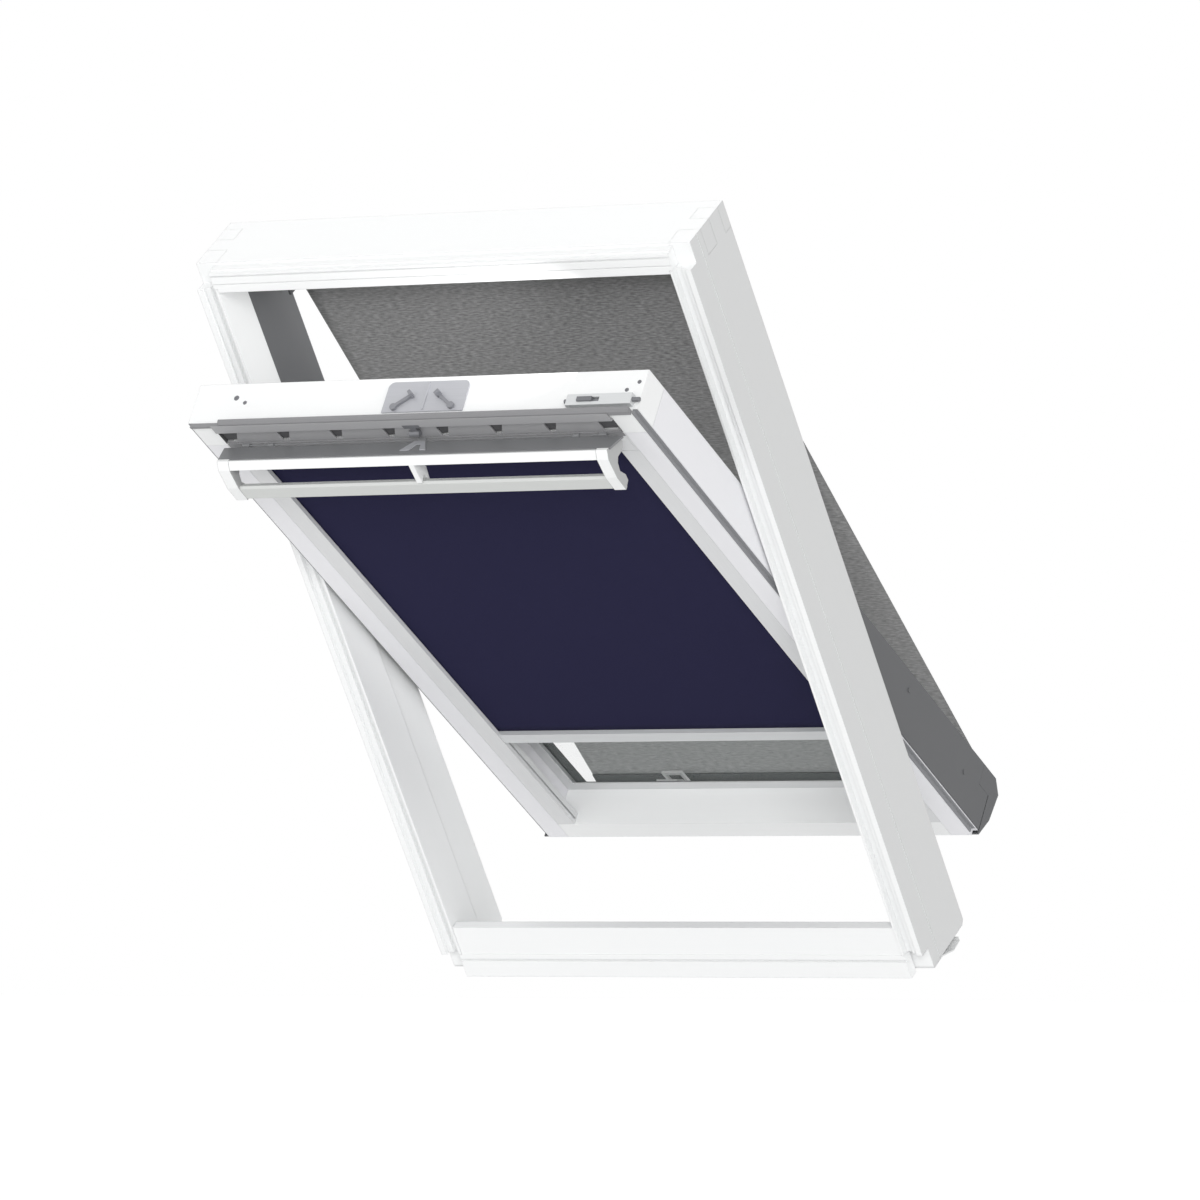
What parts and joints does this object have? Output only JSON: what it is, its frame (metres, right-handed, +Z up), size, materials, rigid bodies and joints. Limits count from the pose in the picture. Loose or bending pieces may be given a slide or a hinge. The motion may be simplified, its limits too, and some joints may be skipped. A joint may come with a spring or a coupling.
{
  "type": "roof window with blackout and awning blinds",
  "caption": "Centre-pivot roof window held open, with a blackout roller blind in side channels and an outer mesh awning blind that runs to the sash's lower end.",
  "frame": {"origin": "middle of the fixed frame head's outer top face", "axes": "+X to the right seen from the room, +Y level and outwards through the roof window, +Z up; the frame leans back to a roof pitch of 54.86 degrees"},
  "size_m": [0.78, 1.0672, 1.0407],
  "materials": {
    "white_lacquer": "smooth white lacquer",
    "sash_lacquer": "smooth white lacquer",
    "white_metal": "white paint, satin",
    "dark_metal": "dark grey paint, satin",
    "steel": "satin",
    "aluminium": "satin",
    "grey_plastic": "light grey, satin",
    "dark_rubber": "dull",
    "pale_rubber": "dull",
    "glass": "clear",
    "navy_fabric": "dull weave",
    "mesh_fabric": "open weave"
  },
  "bodies": {
    "frame": {"frame_head": "white_lacquer", "frame_sill": "white_lacquer", "frame_left": "white_lacquer", "frame_right": "white_lacquer", "sill_flange": "white_metal", "side_hood_left": "dark_metal", "side_hood_right": "dark_metal", "frame_pivot_plate_left": "steel", "frame_pivot_plate_right": "steel", "lock_striker_plate": "steel", "bolt_sleeve": "steel", "awning_cassette": "dark_metal", "awning_cap_left": "dark_metal", "awning_cap_right": "dark_metal"},
    "sash": {"sash_head": "sash_lacquer", "sash_sill": "sash_lacquer", "sash_left": "sash_lacquer", "sash_right": "sash_lacquer", "side_seal_left": "dark_rubber", "side_seal_right": "dark_rubber", "inner_pane": "glass", "outer_pane": "glass", "pane_spacer": "aluminium", "glazing_gasket": "pale_rubber", "sash_pivot_left": "steel", "sash_pivot_right": "steel", "side_cladding_left": "dark_metal", "side_cladding_right": "dark_metal", "bottom_cladding": "dark_metal", "upper_trim_left": "dark_metal", "upper_trim_right": "dark_metal", "head_trim": "dark_metal", "lock_plate": "steel", "barrel_bolt_plate": "aluminium", "vent_grille": "grey_plastic", "vent_strip": "dark_rubber", "centre_latch": "steel", "bar_hinge_pin": "steel", "blackout_cassette": "aluminium", "blackout_end_left": "grey_plastic", "blackout_end_right": "grey_plastic", "blackout_cloth": "navy_fabric", "blackout_channel_left": "aluminium", "blackout_channel_right": "aluminium", "awning_hook_left": "white_metal", "awning_hook_right": "white_metal"},
    "control_bar": {"bar_flap": "dark_metal", "bar_front_strip": "white_metal", "bar_grip": "grey_plastic", "bar_end_left": "white_metal", "bar_end_right": "white_metal"},
    "lock_catch_left": {"lock_catch_left": "steel"},
    "lock_catch_right": {"lock_catch_right": "steel"},
    "barrel_bolt": {"barrel_bolt": "steel"},
    "blackout_bar": {"blackout_bar": "aluminium"},
    "blackout_roller": {"blackout_roller": "navy_fabric"},
    "awning_bar": {"awning_bar": "dark_metal"},
    "awning_cloth": {"awning_cloth": "mesh_fabric"},
    "awning_roller": {"awning_roller": "mesh_fabric"}
  },
  "joints": [
    {"name": "sash_pivot", "type": "hinge", "parent": "frame", "child": "sash", "pos_m": [0, 0.34411, -0.42548], "axis": [1, 0, 0], "range_deg": [-24.8, 20.2]},
    {"name": "control_bar_hinge", "type": "hinge", "parent": "sash", "child": "control_bar", "pos_m": [0, -0.08596, -0.28519], "axis": [1, 0, 0], "range_deg": [-32, 8]},
    {"name": "lock_catch_left_hinge", "type": "hinge", "parent": "sash", "child": "lock_catch_left", "pos_m": [-0.0275, -0.11451, -0.24209], "axis": [0, -0.8655, 0.5009], "range_deg": [-8.5, 32.5]},
    {"name": "lock_catch_right_hinge", "type": "hinge", "parent": "sash", "child": "lock_catch_right", "pos_m": [0.0625, -0.11451, -0.24209], "axis": [0, -0.8655, 0.5009], "range_deg": [-32.5, 8.5]},
    {"name": "barrel_bolt_slide", "type": "slide", "parent": "sash", "child": "barrel_bolt", "axis": [1, 0, 0], "range_m": [0, 0.01]},
    {"name": "blackout_bar_slide", "type": "slide", "parent": "sash", "child": "blackout_bar", "axis": [0, -0.8655, 0.5009], "range_m": [-0.214, 0.72], "deforming": ["blackout_cloth"]},
    {"name": "blackout_roller_spin", "type": "hinge", "parent": "sash", "child": "blackout_roller", "pos_m": [0, -0.05126, -0.27176], "axis": [1, 0, 0], "range_deg": [-2293, 682]},
    {"name": "awning_bar_hinge", "type": "hinge", "parent": "sash", "child": "awning_bar", "pos_m": [0, 0.92529, -0.73191], "axis": [1, 0, 0], "range_deg": [-8.3, 10.2]},
    {"name": "awning_cloth_slide", "type": "slide", "parent": "awning_bar", "child": "awning_cloth", "axis": [0, 0.7628, -0.6466], "range_m": [-0.056, 0.046], "deforming": ["awning_cloth"]},
    {"name": "awning_roller_spin", "type": "hinge", "parent": "frame", "child": "awning_roller", "pos_m": [0, 0.12091, -0.01567], "axis": [1, 0, 0], "range_deg": [-99, 121]}
  ],
  "couplings": [
    {"joint": "lock_catch_left_hinge", "follows": "control_bar_hinge", "ratio": -1},
    {"joint": "lock_catch_right_hinge", "follows": "control_bar_hinge", "ratio": 1},
    {"joint": "blackout_roller_spin", "follows": "blackout_bar_slide", "rad_per_m": -55.556},
    {"joint": "awning_bar_hinge", "follows": "sash_pivot", "ratio": -0.4048},
    {"joint": "awning_cloth_slide", "follows": "sash_pivot", "m_per_rad": 0.1262},
    {"joint": "awning_roller_spin", "follows": "sash_pivot", "ratio": -4.8168}
  ]
}
